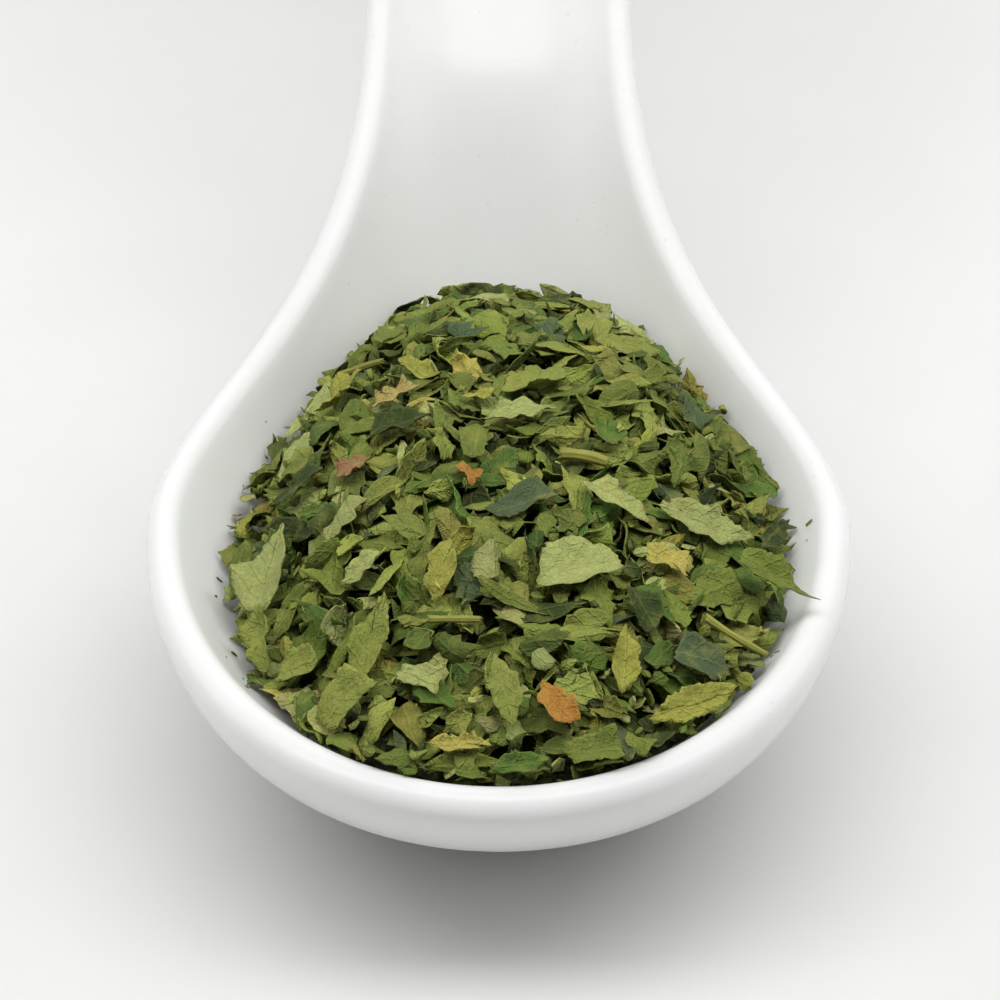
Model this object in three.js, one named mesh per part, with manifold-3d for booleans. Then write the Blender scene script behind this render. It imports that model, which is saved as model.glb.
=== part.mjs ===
// A white porcelain soup spoon with a flat base, heaped with dried parsley flakes.
// Millimetres, +Z up. The spoon's tip points to -Y and its handle rises towards +Y.
// The shapes are worked out with the tip at y = 0, and the whole group is then moved so that
// the origin is at the middle of the spoon's length and width, on the surface it stands on.
import * as THREE from 'three';
import { mergeVertices } from 'three/addons/utils/BufferGeometryUtils.js';
import Module from 'manifold-3d';

const wasm = await Module();
wasm.setup();

// Spoon: driving dimensions
const SPOON_LENGTH = 122;       // tip to end of the handle, measured flat
const BOWL_HALF_WIDTH = 22;     // outside of the rim at its widest
const BOWL_WIDEST_Y = 26.5;     // distance of the widest place from the tip
const NECK_HALF_WIDTH = 8.7;
const NECK_Y = 78;
const NECK_FLARE = [1.83, 5.05]; // exponents of the sweep from the bowl's sides into the neck
const END_HALF_WIDTH = 9.6;     // the handle widens a little towards its round end
const TIP_ROUNDNESS = 2.1;      // superellipse exponent of the bowl's front outline
const RIM_HEIGHT = 16.5;        // top of the rim above the table, around the bowl
const HANDLE_SLOPE = 0.62;      // rise of the handle for each millimetre of run
const HANDLE_RISE_Y = 46;
const HANDLE_RISE_SPREAD = 6;
const HANDLE_DROOP_Y = 70;      // from here the handle bends gently back to level
const HANDLE_DROOP = 0.008;
const LIP_WIDTH = 2.4;
const HANDLE_LIP_WIDTH = 2.0;
const LIP_FADE = [40, 70];
const FLOOR_HEIGHT = 3.2;       // inside of the bowl's bottom above the table
const FLOOR_RISE = [40, 65];    // the floor climbs from the bowl into the handle between these
const CHANNEL_DEPTH = 4.4;      // depth of the channel in the handle at the neck
const CHANNEL_DEPTH_END = 3.6;
const BASE_CUT = 2.2;           // how much of the round underside the flat base cuts away
const HANDLE_THICKNESS = 1.9;
const BASE_FADE = [48, 67];     // the flat base's extra thickness fades out between these
// Fullness of the walls' curves, as superellipse exponents: sides, handle and front
const INNER_CURVE = { side: 1.4, handle: 1.4, front: 1.7, fade: [36, 52] };
const OUTER_CURVE = { side: 1.72, handle: 1.5, front: 1.5, fade: [44, 64] };
// The walls' curve inside ends before it is upright, where it runs into the lip's round section
const WALL_END = 1.19;          // angle along the curve, in radians
const LIP_START = 0.63;         // angle round the lip's section, in radians

// Heap: driving dimensions
const HEAP_CENTRE = [0.5, 27.0];
const HEAP_TOP = 22.6;          // highest place of the heap above the table
const HEAP_DROP = 8.0;          // fall from the top to the edge of the heap
const HEAP_HALF_WIDTH = 17.4;
const HEAP_SIDES = [0.97, 1.03]; // the left and the right half, as shares of the half width
const HEAP_FRONT = 28.5;
const HEAP_BACK = 24.0;
const HEAP_PINCH = 0.2;         // the heap narrows by this much for each millimetre behind its top
const HEAP_SQUARENESS = 2.6;
const CORE_DEPTH = 1.5;         // the packed mass lies this far under the flakes that show
const WALL_GAP = 0.35;          // clearance between the heap and the spoon
const FLAKE_THICKNESS = 0.6;
const FUSED_FLAKES = 132;
const LOOSE_GAP = 0.34;         // clearance round each loose flake

const smooth = (t) => {
  const s = Math.min(1, Math.max(0, t));
  return s * s * (3 - 2 * s);
};
const mix = (a, b, t) => a + (b - a) * t;
const fade = ([from, to], y) => smooth((y - from) / (to - from));

// The spoon's outline and heights, as functions of the distance from the tip
function halfWidth(y) {
  if (y < NECK_Y) {
    const t = Math.max(0, (y - BOWL_WIDEST_Y) / (NECK_Y - BOWL_WIDEST_Y));
    const share = (1 - t ** NECK_FLARE[0]) ** NECK_FLARE[1];
    return mix(NECK_HALF_WIDTH, BOWL_HALF_WIDTH, share);
  }
  return mix(NECK_HALF_WIDTH, END_HALF_WIDTH, fade([NECK_Y, SPOON_LENGTH - END_HALF_WIDTH], y));
}

function rimHeight(y) {
  const swing = Math.log1p(Math.exp((y - HANDLE_RISE_Y) / HANDLE_RISE_SPREAD));
  const droop = HANDLE_DROOP * 0.5 * Math.max(0, y - HANDLE_DROOP_Y) ** 2;
  return RIM_HEIGHT + HANDLE_SLOPE * HANDLE_RISE_SPREAD * swing - droop;
}

function lipWidth(y) {
  return mix(LIP_WIDTH, HANDLE_LIP_WIDTH, fade(LIP_FADE, y));
}

function floorHeight(y) {
  const depth = mix(CHANNEL_DEPTH, CHANNEL_DEPTH_END, fade([NECK_Y, SPOON_LENGTH], y));
  return mix(FLOOR_HEIGHT, rimHeight(y) - depth, fade(FLOOR_RISE, y));
}

function bottomHeight(y) {
  return floorHeight(y) - mix(FLOOR_HEIGHT + BASE_CUT, HANDLE_THICKNESS, fade(BASE_FADE, y));
}

// One line runs from the spoon's spine out to its rim. A line knows where it starts, where the
// inner and the outer edge of the rim are, and how full its inner and outer curves are.
function rimLines({
  inset = 0, lastY = SPOON_LENGTH - END_HALF_WIDTH, frontSteps = 14, sideSteps = 22, endSteps = 6,
}) {
  const CLOSER_IN_BOWL = 1.15;
  const right = [];
  const fullness = (curve, y, frontShare) => mix(
    mix(curve.side, curve.handle, fade(curve.fade, y)),
    curve.front,
    frontShare,
  );
  const line = (spineY, out, inner, frontShare) => right.push({
    spineY,
    out,
    inner,
    innerCurve: fullness(INNER_CURVE, spineY, frontShare),
    outerCurve: fullness(OUTER_CURVE, spineY, frontShare),
  });
  for (let i = 0; i < frontSteps; i++) {
    const a = (i / frontSteps) * Math.PI / 2;
    const at = (wide, long) => [
      wide * Math.sin(a),
      BOWL_WIDEST_Y - long * Math.cos(a) ** (2 / TIP_ROUNDNESS),
    ];
    const inward = LIP_WIDTH + inset;
    line(
      BOWL_WIDEST_Y,
      at(BOWL_HALF_WIDTH, BOWL_WIDEST_Y),
      at(BOWL_HALF_WIDTH - inward, BOWL_WIDEST_Y - inward),
      Math.cos(a) ** 2,
    );
  }
  for (let i = 0; i <= sideSteps; i++) {
    const y = mix(BOWL_WIDEST_Y, lastY, (i / sideSteps) ** CLOSER_IN_BOWL);
    line(y, [halfWidth(y), y], [halfWidth(y) - lipWidth(y) - inset, y], 0);
  }
  const radius = halfWidth(lastY);
  for (let i = 1; i <= endSteps; i++) {
    const a = (i / endSteps) * Math.PI / 2;
    const at = (r) => [r * Math.cos(a), lastY + r * Math.sin(a)];
    line(lastY, at(radius), at(radius - lipWidth(lastY) - inset), 0);
  }
  const mirrored = [...right].reverse().map((l) => ({
    ...l,
    out: [-l.out[0], l.out[1]],
    inner: [-l.inner[0], l.inner[1]],
  }));
  return [...right, ...mirrored].filter((l, i, all) => {
    const before = all[(i + all.length - 1) % all.length];
    return Math.hypot(l.out[0] - before.out[0], l.out[1] - before.out[1]) > 1e-6;
  });
}

// A closed surface from a loop of profiles that all start and end on the spine
function closedLoft(profiles) {
  const rows = profiles[0].length;
  const positions = profiles.flat().flat();
  const index = [];
  for (let j = 0; j < profiles.length; j++) {
    const next = (j + 1) % profiles.length;
    for (let i = 0; i + 1 < rows; i++) {
      const [a, b] = [j * rows + i, j * rows + i + 1];
      const [c, d] = [next * rows + i, next * rows + i + 1];
      index.push(a, b, c, b, d, c);
    }
  }
  const geometry = new THREE.BufferGeometry();
  geometry.setAttribute('position', new THREE.Float32BufferAttribute(positions, 3));
  geometry.setIndex(index);
  return geometry;
}

// manifold-3d joins and cuts, and these two carry a shape to it and back
function toSolid(geometry) {
  const bare = new THREE.BufferGeometry();
  bare.setAttribute('position', geometry.getAttribute('position').clone());
  if (geometry.index) bare.setIndex(geometry.index.clone());
  const merged = mergeVertices(bare, 1e-4);
  const at = merged.index.array;
  const kept = [];
  for (let i = 0; i < at.length; i += 3) {
    const [a, b, c] = [at[i], at[i + 1], at[i + 2]];
    if (a !== b && b !== c && a !== c) kept.push(a, b, c);
  }
  return new wasm.Manifold(new wasm.Mesh({
    numProp: 3,
    vertProperties: merged.attributes.position.array,
    triVerts: new Uint32Array(kept),
  }));
}

function toGeometry(solid) {
  const mesh = solid.getMesh();
  const geometry = new THREE.BufferGeometry();
  geometry.setAttribute('position', new THREE.BufferAttribute(mesh.vertProperties, 3));
  geometry.setIndex(new THREE.BufferAttribute(mesh.triVerts, 1));
  const flat = geometry.toNonIndexed();
  flat.computeVertexNormals();
  return flat;
}

const largestPart = (solid) => solid.decompose()
  .reduce((best, part) => (part.volume() > best.volume() ? part : best));

// The spoon's section along one line: up the inside, over the lip and down the outside
function innerPoints(line, steps, lift = 0) {
  const half = lipWidth(line.spineY) / 2;
  const over = (1 - Math.cos(LIP_START)) / 2;
  const [x, y] = [0, 1].map((k) => mix(line.inner[k], line.out[k], over));
  const edge = rimHeight(line.inner[1]) - half * (1 - Math.sin(LIP_START));
  const floor = floorHeight(line.spineY) + lift;
  const power = 2 / line.innerCurve;
  const points = [];
  for (let i = 0; i <= steps; i++) {
    const a = (i / steps) * WALL_END;
    const r = (Math.sin(a) / Math.sin(WALL_END)) ** power;
    const climb = (1 - Math.cos(a) ** power) / (1 - Math.cos(WALL_END) ** power);
    points.push([x * r, mix(line.spineY, y, r), mix(floor, edge, climb)]);
  }
  return points;
}

function spoonProfile(line) {
  const INNER_STEPS = 8;
  const LIP_STEPS = 5;
  const OUTER_STEPS = 8;
  const lip = lipWidth(line.spineY);
  const edge = rimHeight(line.out[1]) - lip / 2;
  const points = innerPoints(line, INNER_STEPS);
  for (let i = 1; i < LIP_STEPS; i++) {
    const a = mix(LIP_START, Math.PI, i / LIP_STEPS);
    const across = (1 - Math.cos(a)) / 2;
    points.push([
      mix(line.inner[0], line.out[0], across),
      mix(line.inner[1], line.out[1], across),
      edge + (lip / 2) * Math.sin(a),
    ]);
  }
  const bottom = bottomHeight(line.spineY);
  const power = 2 / line.outerCurve;
  const share = Math.min(0.985, edge / (edge - bottom));
  const last = Math.asin(share ** (1 / power));
  for (let i = 0; i <= OUTER_STEPS; i++) {
    const a = (i / OUTER_STEPS) * last;
    const r = Math.cos(a) ** power;
    points.push([
      line.out[0] * r,
      mix(line.spineY, line.out[1], r),
      Math.max(0, mix(edge, bottom, Math.sin(a) ** power)),
    ]);
  }
  points.push([0, line.spineY, Math.max(0, bottom)]);
  return points;
}

const spoonSolid = toSolid(closedLoft(rimLines({}).map(spoonProfile)));

// The room inside the bowl, a little clear of its wall and open to far above the rim
const CAVITY_TOP = 40;
const cavityLines = rimLines({
  inset: WALL_GAP, lastY: 62, frontSteps: 7, sideSteps: 10, endSteps: 0,
});
const cavitySolid = toSolid(closedLoft(cavityLines.map((line) => [
  [0, line.spineY, CAVITY_TOP],
  [line.inner[0], line.inner[1], CAVITY_TOP],
  ...innerPoints(line, 5, WALL_GAP).reverse(),
])));

// The heap's outer surface: a mound that is highest in the bowl's middle
function heapHeight(x, y) {
  const [cx, cy] = HEAP_CENTRE;
  const side = HEAP_SIDES[x < cx ? 0 : 1];
  const wide = (HEAP_HALF_WIDTH - HEAP_PINCH * Math.max(0, y - cy)) * side;
  const along = Math.abs(y - cy) / (y < cy ? HEAP_FRONT : HEAP_BACK);
  const across = Math.abs(x - cx) / wide;
  return HEAP_TOP - HEAP_DROP * (across ** HEAP_SQUARENESS + along ** 2);
}

function heapNormal(x, y) {
  const STEP = 0.8;
  return new THREE.Vector3(
    heapHeight(x - STEP, y) - heapHeight(x + STEP, y),
    heapHeight(x, y - STEP) - heapHeight(x, y + STEP),
    2 * STEP,
  ).normalize();
}

// The packed mass under the flakes, before it is cut to the bowl
function coreGeometry() {
  const COLUMNS = 8;
  const ROWS = 9;
  const DEEP = -5;
  const REACH = [-1, 58];
  const profile = (u) => {
    const x = mix(-BOWL_HALF_WIDTH, BOWL_HALF_WIDTH, u);
    const points = [];
    for (let j = 0; j <= ROWS; j++) {
      const y = mix(...REACH, j / ROWS);
      points.push([x, y, Math.max(DEEP + 1, heapHeight(x, y) - CORE_DEPTH)]);
    }
    return points;
  };
  const positions = [];
  for (let i = 0; i <= COLUMNS; i++) positions.push(...profile(i / COLUMNS));
  const count = positions.length;
  positions.push(...positions.map(([x, y]) => [x, y, DEEP]));
  const index = [];
  const quad = (a, b, c, d) => index.push(a, b, c, a, c, d);
  const at = (i, j) => i * (ROWS + 1) + j;
  for (let i = 0; i < COLUMNS; i++) {
    for (let j = 0; j < ROWS; j++) {
      quad(at(i, j), at(i + 1, j), at(i + 1, j + 1), at(i, j + 1));
      quad(
        count + at(i, j),
        count + at(i, j + 1),
        count + at(i + 1, j + 1),
        count + at(i + 1, j),
      );
    }
  }
  const wall = (a, b) => quad(b, a, count + a, count + b);
  for (let i = 0; i < COLUMNS; i++) {
    wall(at(i, 0), at(i + 1, 0));
    wall(at(i + 1, ROWS), at(i, ROWS));
  }
  for (let j = 0; j < ROWS; j++) {
    wall(at(COLUMNS, j), at(COLUMNS, j + 1));
    wall(at(0, j + 1), at(0, j));
  }
  const geometry = new THREE.BufferGeometry();
  geometry.setAttribute('position', new THREE.Float32BufferAttribute(positions.flat(), 3));
  geometry.setIndex(index);
  return geometry;
}

// Seeded draws, so that every run makes the same heap
let seed = 20417;
function draw(low = 0, high = 1) {
  seed = (seed + 0x6d2b79f5) | 0;
  let t = Math.imul(seed ^ (seed >>> 15), 1 | seed);
  t = (t + Math.imul(t ^ (t >>> 7), 61 | t)) ^ t;
  return low + (high - low) * (((t ^ (t >>> 14)) >>> 0) / 4294967296);
}

// Outlines of broken leaf: shares of the flake's length and width, round its middle
const FLAKE_OUTLINES = {
  tip: [[-0.5, -0.2], [-0.06, -0.5], [0.08, -0.24], [0.5, 0.02], [0.1, 0.24], [-0.04, 0.5], [-0.46, 0.24]],
  chip: [[-0.5, -0.16], [-0.08, -0.5], [0.5, -0.2], [0.28, 0.34], [-0.3, 0.46]],
  lance: [[-0.5, 0.0], [-0.16, -0.46], [0.22, -0.42], [0.5, 0.06], [0.1, 0.5], [-0.24, 0.4]],
  shard: [[-0.5, 0.1], [-0.3, -0.44], [0.16, -0.3], [0.5, -0.32], [0.3, 0.42]],
};

// One thin flake, bent like a dried leaf. Both of its faces are split alike, round the middle.
function flakeGeometry({ outline, length, width, curl, twist, grow = 0 }) {
  const half = FLAKE_THICKNESS / 2 + grow;
  const rise = (u, v) => curl * (v / width) ** 2 * 4 + twist * (u / length) * (v / width) * 4;
  const edge = outline.map(([a, b]) => {
    const [u, v] = [a * length, b * width];
    const far = Math.hypot(u, v);
    const k = (far + grow * 1.2) / far;
    return [u * k, v * k, rise(u, v)];
  });
  const n = edge.length;
  const positions = [
    ...edge.map(([u, v, z]) => [u, v, z + half]),
    ...edge.map(([u, v, z]) => [u, v, z - half]),
    [0, 0, half],
    [0, 0, -half],
  ];
  const index = [];
  for (let i = 0; i < n; i++) {
    const next = (i + 1) % n;
    index.push(2 * n, i, next, 2 * n + 1, n + next, n + i);
    index.push(i, n + i, n + next, i, n + next, next);
  }
  const geometry = new THREE.BufferGeometry();
  geometry.setAttribute('position', new THREE.Float32BufferAttribute(positions.flat(), 3));
  geometry.setIndex(index);
  return geometry;
}

// Lays a piece on the heap: turned by heading, tipped up at one end, and raised off the surface
function placement(x, y, { heading, tilt, roll = 0, lift }) {
  const up = heapNormal(x, y);
  const object = new THREE.Object3D();
  object.quaternion.setFromUnitVectors(new THREE.Vector3(0, 0, 1), up);
  object.rotateZ(heading);
  object.rotateY(-tilt);
  object.rotateX(roll);
  object.position.set(x, y, heapHeight(x, y)).addScaledVector(up, lift);
  object.updateMatrix();
  return object.matrix;
}

const inBowl = (x, y, margin) => {
  const wide = y < BOWL_WIDEST_Y
    ? BOWL_HALF_WIDTH * Math.sqrt(Math.max(0, 1 - ((BOWL_WIDEST_Y - y) / BOWL_WIDEST_Y) ** 2))
    : halfWidth(y);
  return Math.abs(x) < wide - LIP_WIDTH - margin && y > LIP_WIDTH + margin;
};

// Even but irregular places over the heap: a golden-angle spiral with seeded jitter
function heapPlaces(count) {
  const GOLDEN_ANGLE = 2.399963;
  const SPARE_PLACES = 1.12;
  const JITTER = 0.9;
  const MARGIN = 0.2;
  const REACH = [1.06 * HEAP_HALF_WIDTH, 0.94 * HEAP_FRONT];
  const LOWEST = HEAP_TOP - 1.04 * HEAP_DROP;
  const places = [];
  for (let i = 0; places.length < count && i < 4 * count; i++) {
    const reach = Math.sqrt((i + 0.5) / (count * SPARE_PLACES));
    const a = i * GOLDEN_ANGLE;
    const x = HEAP_CENTRE[0] + REACH[0] * reach * Math.cos(a) + draw(-JITTER, JITTER);
    const y = HEAP_CENTRE[1] + REACH[1] * reach * Math.sin(a) + draw(-JITTER, JITTER);
    if (inBowl(x, y, MARGIN) && heapHeight(x, y) > LOWEST) places.push([x, y]);
  }
  return places;
}

const rough = (outline, by) => outline.map(([a, b]) => [a + draw(-by, by), b + draw(-by, by)]);
const pick = (list) => list[Math.floor(draw(0, list.length))];
const FUSED_OUTLINES = [
  [[-0.5, 0.0], [-0.06, -0.5], [0.06, -0.2], [0.5, 0.04], [0.08, 0.22], [-0.04, 0.5]],
  FLAKE_OUTLINES.chip,
  [[-0.5, 0.0], [0.02, -0.42], [0.5, 0.1], [-0.1, 0.44]],
  [[-0.5, 0.1], [-0.3, -0.44], [0.16, -0.16], [0.5, -0.32], [0.3, 0.42]],
];

// How much of a solid lies inside the others that are near it
const shared = (solid, near) => near.reduce((sum, n) => sum + n.intersect(solid).volume(), 0);

// The flakes that are fused to the packed mass, larger than life so that they cover it.
// Each takes the one of a few poses that crosses its neighbours least.
function fusedFlakes(core) {
  const TRIES = 10;
  const NEAR = 8;
  const ROOT_VOLUME = 0.5;
  const laid = [];
  for (const [x, y] of heapPlaces(FUSED_FLAKES)) {
    const length = draw(5.8, 8.2);
    const shape = {
      outline: rough(pick(FUSED_OUTLINES), 0.05),
      length,
      width: length * draw(0.5, 0.8),
      curl: draw(-0.5, 0.8),
      twist: draw(-0.5, 0.5),
    };
    const near = laid.filter((l) => Math.hypot(l.x - x, l.y - y) < NEAR).map((l) => l.solid);
    let best = null;
    for (let i = 0; i < TRIES; i++) {
      const pose = {
        heading: draw(0, 2 * Math.PI),
        tilt: draw(0.2, 0.6),
        roll: draw(-0.2, 0.2),
        lift: draw(-0.9, -0.3),
      };
      const solid = toSolid(flakeGeometry(shape).applyMatrix4(placement(x, y, pose)));
      const crossing = shared(solid, near);
      const rooted = solid.intersect(core).volume() > ROOT_VOLUME;
      if (rooted && (!best || crossing < best.crossing)) best = { x, y, solid, crossing };
    }
    if (best) laid.push(best);
  }
  return laid.map((l) => l.solid);
}

// The loose flakes and stem bits on top, each a piece of its own, larger ones first. Each row
// gives its outline, its place, its heading in degrees from +X, its length and its width.
const LOOSE_PIECES = {
  leaf_flake: [
    ['tip', [-13.8, 20.6], 70, 6.2, 5.0],
    ['chip', [4.8, 15.8], 15, 5.4, 4.2],
    ['lance', [12.4, 21.6], -8, 6.2, 2.8],
    ['lance', [-7.6, 11.4], 64, 6.4, 2.2],
    ['tip', [15.4, 18.0], -14, 5.6, 2.6],
    ['lance', [11.4, 8.2], 32, 6.0, 2.0],
    ['lance', [0.4, 7.4], 97, 5.4, 2.0],
    ['lance', [1.2, 28.8], 12, 5.0, 1.9],
    ['chip', [2.6, 32.4], 10, 5.0, 2.6],
    ['lance', [16.9, 24.6], 64, 4.8, 1.4],
    ['chip', [7.2, 21.4], -25, 4.6, 2.4],
    ['shard', [-9.0, 8.2], 30, 4.6, 3.4],
    ['lance', [-3.4, 15.6], 70, 4.6, 2.0],
    ['chip', [12.0, 11.4], 10, 4.4, 3.2],
    ['shard', [1.4, 20.8], 20, 4.4, 3.0],
    ['shard', [-14.2, 15.2], 80, 4.2, 2.6],
    ['chip', [-6.2, 28.4], 5, 4.2, 2.2],
    ['chip', [-11.8, 11.8], -15, 4.0, 2.6],
    ['shard', [-12.2, 26.4], 15, 4.0, 2.4],
    ['shard', [5.6, 4.2], 0, 3.8, 2.8],
    ['shard', [-9.8, 35.2], 30, 3.8, 2.8],
    ['lance', [1.2, 2.9], 15, 3.6, 1.5],
    ['tip', [12.0, 33.4], 100, 3.6, 2.8],
    ['shard', [-1.6, 26.0], 80, 3.4, 2.4],
    ['lance', [-8.0, 16.8], 30, 3.6, 1.6],
    ['tip', [6.6, 27.6], 85, 3.4, 2.6],
    ['chip', [8.6, 13.6], -60, 3.2, 2.3],
    ['shard', [-4.6, 8.6], -30, 3.2, 2.5],
    ['lance', [15.2, 29.2], 75, 3.2, 1.1],
  ],
  yellowed_flake: [
    ['lance', [7.4, 9.8], 85, 4.4, 2.0],
    ['lance', [-2.4, 4.2], -8, 3.8, 1.1],
    ['chip', [-6.4, 32.0], 20, 3.4, 1.6],
    ['shard', [10.2, 17.8], -20, 3.2, 2.3],
    ['lance', [-1.2, 30.6], 5, 2.6, 1.0],
    ['tip', [-15.4, 26.6], 80, 2.6, 2.0],
  ],
  browned_flake: [
    ['chip', [3.4, 6.6], 128, 3.6, 2.3],
    ['chip', [-8.8, 25.6], 25, 3.0, 1.5],
    ['shard', [-1.8, 23.2], -60, 2.0, 1.4],
  ],
  stem_bit: [
    ['stem', [14.2, 14.2], -8, 4.6, 0.6],
    ['stem', [-2.6, 12.0], -3, 3.2, 0.6],
    ['stem', [-8.6, 38.0], 160, 3.4, 0.6],
    ['stem', [5.2, 24.6], -15, 3.0, 1.0],
  ],
};
const LOOSE_COLOURS = {
  leaf_flake: 0x6f7f3a,
  yellowed_flake: 0xa59a45,
  browned_flake: 0xa9692e,
  stem_bit: 0xb3ad6b,
};
const STEM_SIDES = 6;

// A loose piece and the clearance round it, laid as low as the pieces before it allow
function loosePiece([outline, [x, y], heading, length, width], others) {
  const [LOWEST, HIGHEST, STEP] = [0.35, 2.6, 0.15];
  const TRIES = 4;
  const shape = {
    outline: outline === 'stem' ? [] : rough(FLAKE_OUTLINES[outline], 0.03),
    length,
    width,
    curl: draw(0.1, 0.3) * width,
    twist: draw(-0.4, 0.4),
  };
  const made = (grow) => (outline === 'stem'
    ? new THREE.CylinderGeometry(width / 2 + grow, width / 2.4 + grow, length + 2 * grow, STEM_SIDES)
      .rotateZ(Math.PI / 2)
    : flakeGeometry({ ...shape, grow }));
  for (let lift = LOWEST; lift < HIGHEST; lift += STEP) {
    for (let i = 0; i < TRIES; i++) {
      const matrix = placement(x, y, {
        heading: THREE.MathUtils.degToRad(heading + draw(-5, 5)),
        tilt: draw(-0.12, 0.2),
        roll: draw(-0.2, 0.2),
        lift,
      });
      const clearance = toSolid(made(LOOSE_GAP).applyMatrix4(matrix));
      if (shared(clearance, others) === 0) {
        return { solid: toSolid(made(0).applyMatrix4(matrix)), clearance };
      }
    }
  }
  throw new Error(`no room for the loose piece at ${x}, ${y}`);
}

function loosePieces() {
  const laid = [];
  for (const [kind, rows] of Object.entries(LOOSE_PIECES)) {
    rows.forEach((row, i) => {
      const piece = loosePiece(row, [spoonSolid, ...laid.map((l) => l.solid)]);
      laid.push({ ...piece, name: `${kind}_${i + 1}`, colour: LOOSE_COLOURS[kind] });
    });
  }
  return laid;
}

const core = toSolid(coreGeometry());
const packed = core.add(wasm.Manifold.union(fusedFlakes(core))).intersect(cavitySolid);
const loose = loosePieces();
const heapSolid = largestPart(
  packed.subtract(wasm.Manifold.union(loose.map((l) => l.clearance))),
);

// The finished group
const porcelain = new THREE.MeshStandardMaterial({ color: 0xf1f2ef, roughness: 0.12, metalness: 0 });
const leaf = (color) => new THREE.MeshStandardMaterial({ color, roughness: 0.82, metalness: 0 });

function named(name, geometry, material) {
  const mesh = new THREE.Mesh(geometry, material);
  mesh.name = name;
  return mesh;
}

const spoonOfParsley = new THREE.Group();
spoonOfParsley.add(named('spoon', toGeometry(spoonSolid), porcelain));
spoonOfParsley.add(named('flake_heap', toGeometry(heapSolid), leaf(0x66762f)));
for (const piece of loose) {
  spoonOfParsley.add(named(piece.name, toGeometry(piece.solid), leaf(piece.colour)));
}
spoonOfParsley.position.y = -SPOON_LENGTH / 2;

export default spoonOfParsley;
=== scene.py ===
# A white porcelain soup spoon with a flat base, heaped with dried parsley flakes, in the studio.
import math

import bmesh
import bpy
import numpy as np
from mathutils import Matrix, Vector


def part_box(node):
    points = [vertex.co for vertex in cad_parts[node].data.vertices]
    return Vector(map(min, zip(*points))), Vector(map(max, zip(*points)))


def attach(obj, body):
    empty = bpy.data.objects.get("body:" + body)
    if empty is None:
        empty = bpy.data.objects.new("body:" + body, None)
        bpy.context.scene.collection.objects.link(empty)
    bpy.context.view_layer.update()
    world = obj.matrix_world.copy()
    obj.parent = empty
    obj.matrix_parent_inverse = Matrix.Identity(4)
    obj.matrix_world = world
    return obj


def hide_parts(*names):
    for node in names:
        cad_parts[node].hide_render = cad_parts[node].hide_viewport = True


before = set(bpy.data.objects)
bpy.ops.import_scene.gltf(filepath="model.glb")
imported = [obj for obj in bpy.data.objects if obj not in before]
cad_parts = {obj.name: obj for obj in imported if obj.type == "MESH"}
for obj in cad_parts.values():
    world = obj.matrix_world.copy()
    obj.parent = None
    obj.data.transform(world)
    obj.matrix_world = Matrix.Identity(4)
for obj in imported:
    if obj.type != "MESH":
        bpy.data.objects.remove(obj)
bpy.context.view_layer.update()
MM = 0.001

# Studio
# A wide pale table in a dim room, under one long soft light overhead, a little to the front, which
# lays the dark shadow under the bowl. Weak ones at the sides and the back lift the spoon's walls.
scene = bpy.context.scene
spoon_low, spoon_high = (Vector(corner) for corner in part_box("spoon"))
tip_y = spoon_low.y

LOOK_AT = Vector((0, tip_y + 27.3 * MM, 17 * MM))
CAMERA_ELEVATION = math.radians(40)
CAMERA_DISTANCE = 0.33
CAMERA_LENS = 190.1
CAMERA_SHIFT = 0.0013
TABLE_SIZE = 6.0
TABLE_GREY = 0.77
ROOM_STRENGTH = 0.05


def area_light(name, place, size, power):
    """A rectangular softbox that faces the spoon."""
    light = bpy.data.lights.new(name, "AREA")
    light.shape = "RECTANGLE"
    light.size, light.size_y = size
    light.energy = power
    lamp = bpy.data.objects.new(name, light)
    lamp.location = place
    lamp.rotation_euler = (LOOK_AT - Vector(place)).to_track_quat("-Z", "Y").to_euler()
    scene.collection.objects.link(lamp)


camera_data = bpy.data.cameras.new("camera")
camera_data.lens = CAMERA_LENS
camera_data.shift_x = CAMERA_SHIFT
camera_data.clip_start = 0.01
camera_data.clip_end = 20
camera = bpy.data.objects.new("camera", camera_data)
back_off = Vector((0, -math.cos(CAMERA_ELEVATION), math.sin(CAMERA_ELEVATION)))
camera.location = LOOK_AT + CAMERA_DISTANCE * back_off
camera.rotation_euler = (-back_off).to_track_quat("-Z", "Y").to_euler()
scene.collection.objects.link(camera)
scene.camera = camera
scene.view_settings.view_transform = "Standard"

area_light("overhead_softbox", (0.0, -0.10, 1.2), (2.4, 0.5), 20.9)
area_light("left_softbox", (-1.1, 0.1, 0.55), (0.8, 0.6), 2.6)
area_light("right_softbox", (1.1, 0.1, 0.55), (0.8, 0.6), 2.8)
area_light("back_softbox", (0, 1.2, 0.8), (1.6, 0.8), 4.2)

room = bpy.data.worlds.new("room")
room.use_nodes = True
room.node_tree.nodes["Background"].inputs["Color"].default_value = (1, 1, 0.985, 1)
room.node_tree.nodes["Background"].inputs["Strength"].default_value = ROOM_STRENGTH
scene.world = room


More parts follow.
